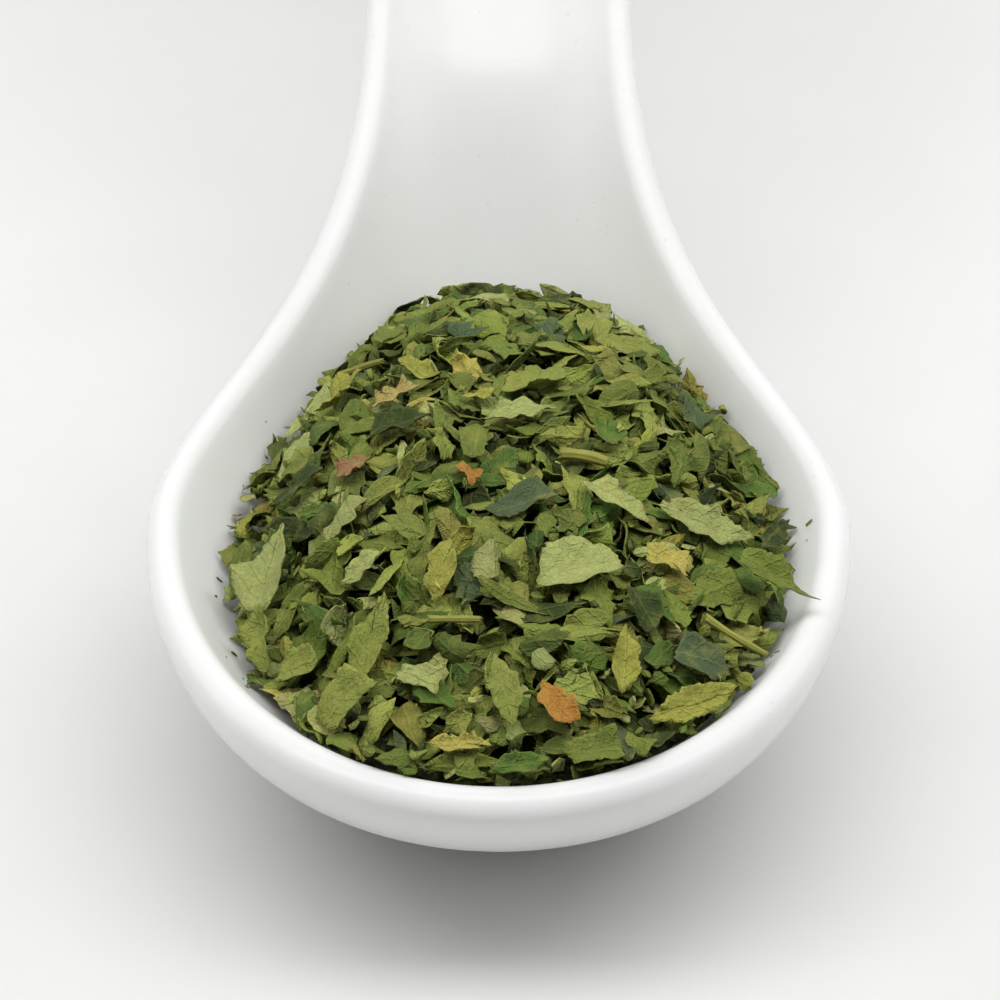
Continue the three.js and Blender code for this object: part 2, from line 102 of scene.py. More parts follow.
class Term:
    """A value in a material. Sums and products of terms add the Math nodes that work them out."""

    def __init__(self, tree, socket):
        self.tree = tree
        self.socket = socket

    def _math(self, operation, first, second):
        node = self.tree.nodes.new("ShaderNodeMath")
        node.operation = operation
        for socket, value in zip(node.inputs, (first, second)):
            if isinstance(value, Term):
                self.tree.links.new(value.socket, socket)
            else:
                socket.default_value = value
        return Term(self.tree, node.outputs[0])

    def __add__(self, other):
        return self._math("ADD", self, other)

    def __sub__(self, other):
        return self._math("SUBTRACT", self, other)

    def __mul__(self, other):
        return self._math("MULTIPLY", self, other)

    def __radd__(self, other):
        return self._math("ADD", other, self)

    def __rsub__(self, other):
        return self._math("SUBTRACT", other, self)

    def __rmul__(self, other):
        return self._math("MULTIPLY", other, self)

    def __abs__(self):
        return self._math("ABSOLUTE", self, 0.0)


class Finish:
    """A material that is built up from terms, and ends in one glossy or matte surface."""

    def __init__(self, name):
        self.material = bpy.data.materials.new(name)
        self.material.use_nodes = True
        self.tree = self.material.node_tree
        self.tree.nodes.clear()

    def node(self, kind, settings=None, sockets=None, out=0):
        """Adds a node: its settings first, then its sockets' values or links."""
        node = self.tree.nodes.new("ShaderNode" + kind)
        for key, value in (settings or {}).items():
            setattr(node, key, value)
        for key, value in (sockets or {}).items():
            socket = next((s for s in node.inputs if s.identifier == key), None) or node.inputs[key]
            if isinstance(value, Term):
                self.tree.links.new(value.socket, socket)
            elif isinstance(value, tuple) and len(value) == 3 and socket.type == "RGBA":
                socket.default_value = (*value, 1)
            else:
                socket.default_value = value
        found = node.outputs[out] if isinstance(out, int) else next(
            s for s in node.outputs if out in (s.identifier, s.name)
        )
        return Term(self.tree, found)

    def noise(self, place, scale, detail=3.0, roughness=0.5):
        sockets = {"Vector": place, "Scale": scale, "Detail": detail, "Roughness": roughness}
        return self.node("TexNoise", None, sockets)

    def between(self, value, low, high):
        """0 where the value is under low, 1 where it is over high, and smooth from low to high."""
        settings = {"interpolation_type": "SMOOTHSTEP"}
        return self.node("MapRange", settings, {"Value": value, "From Min": low, "From Max": high})

    def blend(self, share, first, second):
        """The second colour over the first one, by share."""
        sockets = {"Factor_Float": share, "A_Color": first, "B_Color": second}
        return self.node("Mix", {"data_type": "RGBA"}, sockets, "Result_Color")

    def shift(self, place, offset):
        return self.node("VectorMath", {"operation": "ADD"}, {0: place, 1: offset})

    def done(self, **surface):
        """Ends the material in one surface, whose sockets have these values or terms."""
        sockets = {key.replace("_", " "): value for key, value in surface.items()}
        shader = self.node("BsdfPrincipled", None, sockets)
        output = self.tree.nodes.new("ShaderNodeOutputMaterial")
        self.tree.links.new(shader.socket, output.inputs["Surface"])
        return self.material


def table_finish():
    """Smooth white laminate, with the faintest mottling."""
    finish = Finish("pale_table")
    place = finish.node("TexCoord", out="Object")
    mottle = finish.between(finish.noise(place, 90.0), 0.3, 0.7)
    white = (TABLE_GREY, TABLE_GREY, TABLE_GREY * 0.99)
    dull = tuple(0.985 * part for part in white)
    return finish.done(
        Base_Color=finish.blend(mottle, dull, white),
        Roughness=0.62 + 0.06 * mottle,
    )


table_mesh = bpy.data.meshes.new("table")
half = TABLE_SIZE / 2
corners = [(-half, -half, 0), (half, -half, 0), (half, half, 0), (-half, half, 0)]
table_mesh.from_pydata(corners, [], [(0, 1, 2, 3)])
table = bpy.data.objects.new("table", table_mesh)
table_mesh.materials.append(table_finish())
scene.collection.objects.link(table)

# Spoon
# One piece of slip-cast white porcelain under a clear glossy glaze, with a rounded rim. Its flat
# oval base is wiped bare of glaze before the firing, so that it doesn't stick to the kiln shelf.
SPOON_LENGTH = (spoon_high.y - spoon_low.y) / MM
BOWL_HALF_WIDTH = (spoon_high.x - spoon_low.x) / MM / 2
BOWL_WIDEST_Y = 26.5
NECK_HALF_WIDTH = 8.7
NECK_Y = 78
NECK_FLARE = (1.83, 5.05)
END_HALF_WIDTH = 9.6
TIP_ROUNDNESS = 2.1
RIM_HEIGHT = 16.5
HANDLE_SLOPE = 0.62
HANDLE_RISE_Y = 46
HANDLE_RISE_SPREAD = 6
HANDLE_DROOP_Y = 70
HANDLE_DROOP = 0.008
LIP_WIDTH = 2.4
HANDLE_LIP_WIDTH = 2.0
LIP_FADE = (40, 70)
FLOOR_HEIGHT = 3.2
FLOOR_RISE = (40, 65)
CHANNEL_DEPTH = 4.4
CHANNEL_DEPTH_END = 3.6
BASE_CUT = 2.2
HANDLE_THICKNESS = 1.9
BASE_FADE = (48, 67)
INNER_CURVE = {"side": 1.4, "handle": 1.4, "front": 1.7, "fade": (36, 52)}
OUTER_CURVE = {"side": 1.72, "handle": 1.5, "front": 1.5, "fade": (44, 64)}
WALL_END = 1.19
LIP_START = 0.63
OUTER_END = 0.985
WELD_DISTANCE = 0.002 * MM


def mix(a, b, t):
    return a + (b - a) * t


def fade(span, y):
    """0 before the span, 1 after it, and smooth along it."""
    t = np.clip((y - span[0]) / (span[1] - span[0]), 0, 1)
    return t * t * (3 - 2 * t)


def half_width(y):
    t = np.clip((y - BOWL_WIDEST_Y) / (NECK_Y - BOWL_WIDEST_Y), 0, 1)
    bowl = mix(NECK_HALF_WIDTH, BOWL_HALF_WIDTH, (1 - t ** NECK_FLARE[0]) ** NECK_FLARE[1])
    widening = fade((NECK_Y, SPOON_LENGTH - END_HALF_WIDTH), y)
    handle = mix(NECK_HALF_WIDTH, END_HALF_WIDTH, widening)
    return np.where(y < NECK_Y, bowl, handle)


def rim_height(y):
    swing = np.log1p(np.exp((y - HANDLE_RISE_Y) / HANDLE_RISE_SPREAD))
    droop = HANDLE_DROOP * 0.5 * np.maximum(0, y - HANDLE_DROOP_Y) ** 2
    return RIM_HEIGHT + HANDLE_SLOPE * HANDLE_RISE_SPREAD * swing - droop


def lip_width(y):
    return mix(LIP_WIDTH, HANDLE_LIP_WIDTH, fade(LIP_FADE, y))


def floor_height(y):
    depth = mix(CHANNEL_DEPTH, CHANNEL_DEPTH_END, fade((NECK_Y, SPOON_LENGTH), y))
    return mix(FLOOR_HEIGHT, rim_height(y) - depth, fade(FLOOR_RISE, y))


def bottom_height(y):
    return floor_height(y) - mix(FLOOR_HEIGHT + BASE_CUT, HANDLE_THICKNESS, fade(BASE_FADE, y))


def fullness(curve, y, front_share):
    return mix(mix(curve["side"], curve["handle"], fade(curve["fade"], y)), curve["front"], front_share)


def climbed(share, curve):
    """How far up the wall a place is, from its share of the way out to the rim."""
    end = math.sin(WALL_END) ** (2 / curve)
    top = 1 - math.cos(WALL_END) ** (2 / curve)
    return (1 - (1 - (share * end) ** curve) ** (1 / curve)) / top


def wall_top(y, spine_y):
    """The height where the wall runs into the lip's round section."""
    return rim_height(y) - lip_width(spine_y) / 2 * (1 - math.sin(LIP_START))


def in_row_frame(points):
    """From millimetres counted from the spoon's tip to metres in the part's own frame."""
    return (np.asarray(points) + (0, tip_y / MM, 0)) * MM


def new_piece(name, points, faces, material, replaced):
    """A piece from points in millimetres, which rides with the spoon and has the slot's finish."""
    mesh = bpy.data.meshes.new(name)
    mesh.from_pydata(in_row_frame(points).tolist(), [], faces)
    mesh.materials.append(material)
    mesh.polygons.foreach_set("use_smooth", [True] * len(mesh.polygons))
    piece = bpy.data.objects.new(name, mesh)
    scene.collection.objects.link(piece)
    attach(piece, "root")
    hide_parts(*replaced)
    return piece


def half_rim():
    """The right half of the rim, from the tip to the handle's end: spine, outer and inner edge."""
    FRONT_STEPS = 40
    SIDE_STEPS = 120
    END_STEPS = 20
    rows = []
    for i in range(FRONT_STEPS):
        a = i / FRONT_STEPS * math.pi / 2
        across, along = math.sin(a), math.cos(a) ** (2 / TIP_ROUNDNESS)
        outer = (BOWL_HALF_WIDTH * across, BOWL_WIDEST_Y * (1 - along))
        inner = (
            (BOWL_HALF_WIDTH - LIP_WIDTH) * across,
            BOWL_WIDEST_Y - (BOWL_WIDEST_Y - LIP_WIDTH) * along,
        )
        rows.append((BOWL_WIDEST_Y, outer, inner, math.cos(a) ** 2))
    last_y = SPOON_LENGTH - END_HALF_WIDTH
    for i in range(SIDE_STEPS + 1):
        y = mix(BOWL_WIDEST_Y, last_y, i / SIDE_STEPS)
        wide = float(half_width(y))
        rows.append((y, (wide, y), (wide - lip_width(y), y), 0))
    for i in range(1, END_STEPS + 1):
        a = i / END_STEPS * math.pi / 2
        reach = [float(half_width(last_y)) - inset for inset in (0, lip_width(last_y))]
        outer, inner = ((r * math.cos(a), last_y + r * math.sin(a)) for r in reach)
        rows.append((last_y, outer, inner, 0))
    return rows


def spoon_profile(spine_y, outer, inner, front_share):
    """The section along one line: up the inside, over the lip and down the outside."""
    INNER_STEPS = 26
    LIP_STEPS = 12
    OUTER_STEPS = 28
    lip = lip_width(spine_y)
    points = []
    inner_curve = fullness(INNER_CURVE, spine_y, front_share)
    over = (1 - math.cos(LIP_START)) / 2
    x, y = (mix(inner[k], outer[k], over) for k in (0, 1))
    for a in np.linspace(0, WALL_END, INNER_STEPS + 1):
        r = (math.sin(a) / math.sin(WALL_END)) ** (2 / inner_curve)
        z = mix(floor_height(spine_y), wall_top(inner[1], spine_y), climbed(r, inner_curve))
        points.append((x * r, mix(spine_y, y, r), z))
    inner_edge, edge = (rim_height(at[1]) - lip / 2 for at in (inner, outer))
    for a in np.linspace(LIP_START, math.pi, LIP_STEPS + 1)[1:-1]:
        across = (1 - math.cos(a)) / 2
        x, y = (mix(inner[k], outer[k], across) for k in (0, 1))
        points.append((x, y, mix(inner_edge, edge, across) + lip / 2 * math.sin(a)))
    bottom = bottom_height(spine_y)
    power = 2 / fullness(OUTER_CURVE, spine_y, front_share)
    share = min(OUTER_END, edge / (edge - bottom))
    for a in np.linspace(0, math.asin(share ** (1 / power)), OUTER_STEPS + 1):
        r = math.cos(a) ** power
        z = max(0.0, mix(edge, bottom, math.sin(a) ** power))
        points.append((outer[0] * r, mix(spine_y, outer[1], r), z))
    points.append((0, spine_y, max(0.0, bottom)))
    return points


def spoon_surface():
    right = [spoon_profile(*row) for row in half_rim()]
    left = [[(-x, y, z) for x, y, z in profile] for profile in reversed(right[1:-1])]
    profiles = right + left
    steps = len(profiles[0])
    faces = []
    for j in range(len(profiles)):
        here, there = j * steps, (j + 1) % len(profiles) * steps
        for i in range(steps - 1):
            faces.append((here + i, here + i + 1, there + i + 1, there + i))
    return [point for profile in profiles for point in profile], faces


def glaze_finish():
    """Clear glaze on white clay, with slow ripples, a few pinholes and a bare base."""
    finish = Finish("white_glaze")
    place = finish.node("TexCoord", out="Object")
    height = finish.node("SeparateXYZ", None, {"Vector": place}, "Z")
    bare = 1 - finish.between(height, 0.2 * MM, 0.7 * MM)
    ripple = finish.noise(place, 70.0, 2.0)
    pores = finish.between(finish.noise(place, 2600.0, 1.0), 0.74, 0.8)
    cloud = finish.between(finish.noise(place, 130.0, 2.0), 0.35, 0.7)
    white = finish.blend(cloud, (0.835, 0.843, 0.828), (0.855, 0.862, 0.848))
    specked = finish.blend(0.35 * pores, white, (0.62, 0.60, 0.54))
    clay = finish.blend(finish.noise(place, 900.0), (0.70, 0.68, 0.63), (0.78, 0.76, 0.71))
    bump = finish.node("Bump", None, {
        "Strength": 0.2,
        "Distance": 0.05 * MM,
        "Height": ripple - 0.15 * pores,
    })
    return finish.done(
        Base_Color=finish.blend(bare, specked, clay),
        Roughness=0.2 + 0.04 * cloud + 0.5 * bare,
        IOR=1.45,
        Specular_IOR_Level=0.2,
        Subsurface_Weight=0.45,
        Subsurface_Scale=4.0 * MM,
        Subsurface_Radius=(1.0, 0.95, 0.86),
        Normal=bump,
    )


spoon_points, spoon_faces = spoon_surface()
spoon = new_piece("porcelain_spoon", spoon_points, spoon_faces, glaze_finish(), ["spoon"])
tidy = bmesh.new()
tidy.from_mesh(spoon.data)
bmesh.ops.remove_doubles(tidy, verts=tidy.verts, dist=WELD_DISTANCE)
bmesh.ops.dissolve_degenerate(tidy, edges=tidy.edges, dist=WELD_DISTANCE)
bmesh.ops.recalc_face_normals(tidy, faces=tidy.faces)
tidy.to_mesh(spoon.data)
tidy.free()

# Heap core
# The flakes lower down in the bowl, which only show as the dark at the bottom of the gaps. They are one
# packed mass of dried leaf, lying on the bowl's floor under the flakes that show, and coloured dark as
# painted shade for the gaps.
HEAP_CENTRE = (0.5, 27.0)
HEAP_TOP = 22.6
HEAP_DROP = 8.0
HEAP_HALF_WIDTH = 17.4
HEAP_SIDES = (0.97, 1.03)
HEAP_FRONT = 28.5
HEAP_BACK = 24.0
HEAP_PINCH = 0.2
HEAP_SQUARENESS = 2.6
CORE_DEPTH = 3.0
CORE_LIFT = 0.12
CORE_EDGE = 0.25
CORE_SWELL = (5.0, 0.35)
CORE_SEED = 5
OUTSIDE = 1000.0


def heap_height(x, y):
    """The heap's outer surface, as the solids have it."""
    wide = HEAP_HALF_WIDTH - HEAP_PINCH * np.maximum(0, y - HEAP_CENTRE[1])
    across = np.abs(x - HEAP_CENTRE[0]) / (wide * np.where(x < HEAP_CENTRE[0], *HEAP_SIDES))
    along = np.abs(y - HEAP_CENTRE[1]) / np.where(y < HEAP_CENTRE[1], HEAP_FRONT, HEAP_BACK)
    return HEAP_TOP - HEAP_DROP * (across ** HEAP_SQUARENESS + along ** 2)


def wall_height(x, y):
    """The height of the spoon's inner surface, and far up where there is no bowl under the place.
    Just past the wall a flake can lie on the lip."""
    ON_LIP = 1.035
    FURTHEST_OUT = 4.0
    HALVINGS = 30
    x, y = np.broadcast_arrays(np.asarray(x, float), np.asarray(y, float))
    inset = 1 - (1 - math.cos(LIP_START)) / 2
    wide = BOWL_HALF_WIDTH - inset * LIP_WIDTH
    long = BOWL_WIDEST_Y - inset * LIP_WIDTH
    ahead = np.maximum(0, BOWL_WIDEST_Y - y)
    low, high = np.zeros_like(x), np.full_like(x, FURTHEST_OUT)
    for _ in range(HALVINGS):
        r = (low + high) / 2
        inside = (x / (r * wide)) ** 2 + (ahead / (r * long)) ** TIP_ROUNDNESS < 1
        low, high = np.where(inside, low, r), np.where(inside, r, high)
    front = y < BOWL_WIDEST_Y
    share = np.where(front, high, np.abs(x) / (half_width(y) - inset * lip_width(y)))
    spine_y = np.where(front, BOWL_WIDEST_Y, y)
    front_share = np.where(front, (ahead / (high * long)) ** TIP_ROUNDNESS, 0)
    curve = fullness(INNER_CURVE, spine_y, front_share)
    climb = climbed(np.minimum(share, 1), curve)
    wall = np.where(share < 1, mix(floor_height(spine_y), wall_top(y, spine_y), climb), rim_height(y))
    return np.where(share < ON_LIP, wall, OUTSIDE)


def waves(x, y, rng, size, height, count=5):
    """A gentle irregular swell: a few sine waves that cross at random angles."""
    total = np.zeros_like(x)
    for _ in range(count):
        angle, start = rng.uniform(0, 2 * math.pi, 2)
        total += np.sin((x * math.cos(angle) + y * math.sin(angle)) * 2 * math.pi / size + start)
    return height * total / math.sqrt(count)


def core_height(x, y):
    """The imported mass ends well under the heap's outer surface, with a slow swell."""
    swell = waves(x, y, np.random.default_rng(CORE_SEED), *CORE_SWELL)
    return heap_height(x, y) - CORE_DEPTH + swell


def core_surface():
    """A closed body: a ringed top and a ringed underside that meet where the wall is."""
    TURNS = 96
    RINGS = 22
    NEAREST = 0.5
    FURTHEST = 34.0
    LOOKS = 240
    turn = np.linspace(0, 2 * math.pi, TURNS, endpoint=False)
    reach = np.linspace(NEAREST, FURTHEST, LOOKS)
    x = HEAP_CENTRE[0] + reach * np.cos(turn)[:, None]
    y = HEAP_CENTRE[1] + reach * np.sin(turn)[:, None]
    room = core_height(x, y) - wall_height(x, y)
    edge = reach[np.argmax(room < CORE_LIFT + CORE_EDGE, axis=1)]
    rings = np.linspace(0, 1, RINGS + 1)[1:]
    x = HEAP_CENTRE[0] + rings[:, None] * edge * np.cos(turn)
    y = HEAP_CENTRE[1] + rings[:, None] * edge * np.sin(turn)
    under = wall_height(x, y) + CORE_LIFT
    over = np.maximum(core_height(x, y), under)
    centre_under = float(wall_height(*HEAP_CENTRE)) + CORE_LIFT
    centre_over = float(core_height(*map(np.array, HEAP_CENTRE)))
    top = np.stack([x, y, over], -1).reshape(-1, 3)
    bottom = np.stack([x, y, under], -1)[:-1].reshape(-1, 3)
    centres = [(*HEAP_CENTRE, centre_over), (*HEAP_CENTRE, centre_under)]
    points = np.concatenate([top, bottom, centres])
    top_centre = len(points) - 2
    faces = []
    for j in range(TURNS):
        k = (j + 1) % TURNS
        faces.append((top_centre, j, k))
        faces.append((top_centre + 1, len(top) + k, len(top) + j))
        for i in range(RINGS - 1):
            a, b = i * TURNS, (i + 1) * TURNS
            faces.append((a + j, b + j, b + k, a + k))
            c = a + len(top)
            d = b + len(top) if i < RINGS - 2 else b
            faces.append((c + j, c + k, d + k, d + j))
    return points, faces


def painted_shade_core_finish():
    """Leaf with painted deep shade: a near black green, with lighter crumbs."""
    finish = Finish("packed_leaf_painted_shade")
    place = finish.node("TexCoord", out="Object")
    crumbs = finish.between(finish.noise(place, 1400.0, 4.0), 0.42, 0.62)
    warm = finish.noise(place, 500.0)
    # Painted shade: both greens are darker than most flakes and stand in for the shade deep in the
    # gaps.
    green = finish.blend(warm, (0.045, 0.064, 0.022), (0.075, 0.072, 0.028))
    bump = finish.node("Bump", None, {"Strength": 1.0, "Distance": 0.4 * MM, "Height": crumbs})
    return finish.done(
        Base_Color=finish.blend(crumbs, green, (0.11, 0.135, 0.045)),
        Roughness=0.85 + 0.1 * warm,
        Normal=bump,
    )


core_points, core_faces = core_surface()
new_piece("heap_core", core_points, core_faces, painted_shade_core_finish(), ["flake_heap"])

# Loose flakes
# The larger flakes on top, which lie free of the rest. Each is one crisp piece of leaf with torn
# or toothed edges, paper thin, cupped as its solid is and creased along its rib as it dried.
LEAF_THICKNESS = 0.13
LOOSE_SEED = 88
COLOURS = {
    "pale": (152, 159, 94),
    "olive": (130, 138, 62),
    "mid_green": (104, 117, 46),
    "leaf_green": (80, 99, 34),
    "fresh_green": (76, 104, 36),
    "dark_green": (48, 64, 22),
    "blue_green": (76, 93, 60),
    "yellow_green": (146, 146, 62),
    "straw": (170, 160, 78),
    "tan": (164, 146, 86),
    "orange_brown": (166, 116, 48),
    "rose_brown": (146, 110, 74),
}
LOOSE_COLOURS = {
    "leaf_flake": (
        "pale", "pale", "pale", "olive", "mid_green", "yellow_green", "olive", "pale", "olive",
        "dark_green", "pale", "olive", "yellow_green", "blue_green", "blue_green", "olive",
        "dark_green", "olive", "dark_green", "mid_green", "yellow_green", "fresh_green",
        "blue_green", "mid_green", "pale", "fresh_green", "dark_green", "pale", "mid_green",
    ),
    "yellowed_flake": ("yellow_green", "straw", "tan", "straw", "yellow_green", "yellow_green"),
    "browned_flake": ("orange_brown", "rose_brown", "orange_brown"),
}
LOOSE_SLOTS = {
    "leaf_flake": "green_leaf",
    "yellowed_flake": "yellowed_leaf",
    "browned_flake": "browned_leaf",
}


def linear(colour):
    """From a paint chip's 0 to 255 to the linear colour that a material takes."""
    return np.array([((c / 255 + 0.055) / 1.055) ** 2.4 for c in colour])


def lying(node):
    """How a loose piece of the solids lies: its points, its middle, and its long to short axes."""
    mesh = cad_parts[node].data
    points = np.array([vertex.co for vertex in mesh.vertices]) / MM - (0, tip_y / MM, 0)
    points = np.unique(points.round(3), axis=0)
    middle = points.mean(0)
    axes = np.linalg.svd(points - middle)[2]
    axes[2] *= 1 if axes[2][2] > 0 else -1
    axes[1] = np.cross(axes[2], axes[0])
    return points, middle, axes


def corners_of(flat):
    """The outline's corners in order. Each has a point on the top and one on the underside."""
    NEVER = 1e6
    rim = flat[np.argsort(np.hypot(flat[:, 0], flat[:, 1]))[2:]]
    apart = np.hypot(*(rim[:, None, :2] - rim[None, :, :2]).T)
    partner = np.argmin(apart + NEVER * np.eye(len(rim)), axis=1)
    corners = np.array([(rim[i, :2] + rim[k, :2]) / 2 for i, k in enumerate(partner) if i < k])
    return corners[np.argsort(np.arctan2(corners[:, 1], corners[:, 0]))]


def torn_edge(corners, rng, step, rough):
    """Ragged edges between the corners, with a deeper tear here and there."""
    DEEP_SHARE = 0.16
    DEEPER = 2.4
    points = []
    for here, there in zip(corners, np.roll(corners, -1, axis=0)):
        along = there - here
        span = math.hypot(*along)
        aside = np.array([along[1], -along[0]]) / span
        count = max(2, round(span / step))
        bulge = rng.uniform(-0.05, 0.07) * span
        for t in np.arange(count) / count:
            tear = rough * (DEEPER if rng.random() < DEEP_SHARE else 1)
            push = bulge * 4 * t * (1 - t) + (rng.uniform(-tear, tear) if t else 0)
            points.append(here + along * t + aside * push)
    return np.array(points)


FACE_CACHE = {}


def flake_faces(count, rings):
    """Faces of a thin closed flake with this many points round it: top, underside and edge."""
    if (count, rings) not in FACE_CACHE:
        faces = []
        per_side = 1 + count * rings
        for i in range(count):
            k = (i + 1) % count
            for start, turned in ((0, False), (per_side, True)):
                cells = [(start, start + 1 + i, start + 1 + k)]
                for ring in range(rings - 1):
                    a, b = start + 1 + ring * count, start + 1 + (ring + 1) * count
                    cells += [(a + i, b + i, b + k), (a + i, b + k, a + k)]
                faces += [cell[::-1] if turned else cell for cell in cells]
            a = 1 + (rings - 1) * count
            b = a + per_side
            faces += [(a + i, b + i, b + k), (a + i, b + k, a + k)]
        FACE_CACHE[count, rings] = np.array(faces)
    return FACE_CACHE[count, rings]


def flat_flake(outline, shares):
    """The flake before it bends: places across it, height through it, and share of the way out."""
    out = np.concatenate([[0], np.repeat(shares, len(outline))])
    plan = np.concatenate([[(0, 0)], *(outline * share for share in shares)])
    through = LEAF_THICKNESS / 2 * (1 - 0.6 * out ** 2)
    return (
        np.concatenate([plan, plan]),
        np.concatenate([through, -through]),
        np.concatenate([out, out]),
    )


class Flakes:
    """Flakes of one kind, gathered into one mesh with each one's own colour and leaf lines."""

    def __init__(self):
        self.points, self.faces, self.colours, self.places = [], [], [], []
        self.count = 0

    def add(self, laid, faces, colour, plan, out, seed):
        self.faces.append(faces + self.count)
        self.count += len(laid)
        self.points.append(laid)
        self.colours.append(np.tile([*colour, seed], (len(laid), 1)))
        self.places.append(np.column_stack([plan, out]))

    def piece(self, name, material, slot, replaced):
        faces = np.concatenate(self.faces).tolist()
        piece = new_piece(name, np.concatenate(self.points), faces, material, replaced)
        colours = piece.data.attributes.new("leaf_colour", "FLOAT_COLOR", "POINT")
        colours.data.foreach_set("color", np.concatenate(self.colours).ravel())
        places = piece.data.attributes.new("leaf_place", "FLOAT_VECTOR", "POINT")
        places.data.foreach_set("vector", np.concatenate(self.places).ravel())
        return piece


def leaf_finish():
    """Dried leaf: each flake's own colour, with pale veins, mottling, a dry edge and crinkles with
    painted shade.
    """
    finish = Finish("dried_leaf")
    own = finish.node("Attribute", {"attribute_name": "leaf_colour"}, out="Color")
    seed = finish.node("Attribute", {"attribute_name": "leaf_colour"}, out="Alpha")
    spot = finish.node("Attribute", {"attribute_name": "leaf_place"}, out="Vector")
    u = finish.node("SeparateXYZ", None, {"Vector": spot}, "X")
    v = finish.node("SeparateXYZ", None, {"Vector": spot}, "Y")
    out = finish.node("SeparateXYZ", None, {"Vector": spot}, "Z")
    place = finish.node("CombineXYZ", None, {"X": u, "Y": v, "Z": seed * 61.0})
    wander = finish.noise(place, 0.9, 2.0) - 0.5
    rib = 1 - finish.between(abs(v + 0.5 * wander), 0.04, 0.13)
    step = (u - abs(v) * 0.9 + 0.8 * wander) * 0.85 + seed * 7.0
    branch = finish.node("Math", {"operation": "PINGPONG"}, {0: step, 1: 0.5})
    side_veins = 1 - finish.between(branch, 0.03, 0.12)
    net = finish.node(
        "TexVoronoi",
        {"feature": "DISTANCE_TO_EDGE"},
        {"Vector": place, "Scale": 2.6},
        "Distance",
    )
    net_veins = 1 - finish.between(net, 0.02, 0.12)
    mottle = finish.noise(place, 1.1, 4.0, 0.6)
    grain = finish.noise(place, 9.0, 3.0, 0.6)
    crinkle = finish.noise(finish.node("VectorMath", {"operation": "MULTIPLY"}, {
        0: place, 1: (1.0, 2.6, 1.0),
    }), 1.9, 3.0, 0.6)
    dry_edge = finish.between(out + 0.3 * wander, 0.86, 0.99)
    yellowing = finish.between(finish.noise(finish.shift(place, (7.0, 3.0, 9.0)), 0.7, 3.0), 0.45, 0.75)
    aged = finish.blend(0.3 * yellowing, own, (0.34, 0.33, 0.07))
    # Painted shade: crinkle darkens the colour in the relief's hollows; mottle and grain are the leaf's
    # own tone.
    light = 0.56 + 0.66 * mottle + 0.44 * crinkle + 0.32 * (grain - 0.5)
    crinkle_shaded_tone = finish.node("VectorMath", {"operation": "SCALE"}, {0: aged, "Scale": light})
    pale = finish.node("VectorMath", {"operation": "MULTIPLY_ADD"}, {
        0: crinkle_shaded_tone, 1: (0.95, 0.93, 0.9), 2: (0.075, 0.075, 0.022),
    })
    veined = finish.blend(0.5 * rib + 0.28 * side_veins + 0.12 * net_veins, crinkle_shaded_tone, pale)
    edged = finish.blend(0.55 * dry_edge, veined, pale)
    spots = finish.between(finish.noise(finish.shift(place, (31.0, 17.0, 5.0)), 2.3, 2.0), 0.69, 0.76)
    spotted = finish.blend(0.5 * spots, edged, (0.07, 0.05, 0.015))
    veins = 0.5 * rib + 0.4 * side_veins + 0.22 * net_veins
    relief = veins + 0.5 * mottle + 1.3 * crinkle + 0.25 * grain
    bump = finish.node("Bump", None, {"Strength": 0.9, "Distance": 0.17 * MM, "Height": relief})
    return finish.done(
        Base_Color=spotted,
        Roughness=0.72 + 0.2 * mottle,
        Specular_IOR_Level=0.35,
        Normal=bump,
    )


def rolled(plan, rng, highest):
    """Height of an edge that rolled up, or under, as the leaf dried."""
    turn = rng.uniform(0, 2 * math.pi)
    along = plan[:, 0] * math.cos(turn) + plan[:, 1] * math.sin(turn)
    start = rng.uniform(0.25, 0.6) * along.max()
    return rng.choice((-0.5, 1)) * highest * (np.maximum(0, along - start) / (along.max() - start)) ** 2


def loose_flake(node, colour, rng):
    """The thin crisp flake that a loose solid stands for, bent along the solid's middle surface."""
    SHARES = (0.22, 0.44, 0.64, 0.82, 1.0)
    TEAR_STEP = 0.24
    TEAR_DEPTH = 0.085
    ROLL = 0.45
    points, middle, axes = lying(node)
    flat = (points - middle) @ axes.T

    def terms(u, v):
        return np.stack([np.ones_like(u), u, v, u * u, u * v, v * v], -1)

    bend = np.linalg.lstsq(terms(flat[:, 0], flat[:, 1]), flat[:, 2], rcond=None)[0]
    outline = torn_edge(corners_of(flat), rng, TEAR_STEP, TEAR_DEPTH)
    plan, through, out = flat_flake(outline, SHARES)
    u, v = plan.T
    crinkle = waves(u, v, rng, rng.uniform(1.6, 2.4), 0.07, 4)
    crinkle += waves(u, v, rng, rng.uniform(0.7, 1.0), 0.035, 4)
    crease = rng.uniform(-0.05, 0.2) * (np.abs(v) - np.abs(v).mean())
    flutter = 0.16 * out ** 3 * np.sin(rng.integers(3, 6) * np.arctan2(v, u) + rng.uniform(0, 6))
    up = terms(u, v) @ bend + crinkle + crease + flutter + rolled(plan, rng, ROLL) + through
    laid = middle + np.column_stack([u, v, up]) @ axes
    flake = Flakes()
    flake.add(laid, flake_faces(len(outline), len(SHARES)), colour, plan, out, rng.random())
    return flake, laid


loose_rng = np.random.default_rng(LOOSE_SEED)
dried_leaf = leaf_finish()
loose_points = []
for kind, names in LOOSE_COLOURS.items():
    for number, name in enumerate(names, 1):
        node = f"{kind}_{number}"
        tone = linear(COLOURS[name]) * loose_rng.normal(1, 0.05)
        flake, laid = loose_flake(node, tone, loose_rng)
        flake.piece("crisp_" + node, dried_leaf, LOOSE_SLOTS[kind], [node])
        loose_points.append(laid)

# Loose stem bits
# Short lengths of dried leaf stalk: ribbed, a little bent, and frayed where they broke.
STEM_BITS = 4
STEM_RIBS = 7


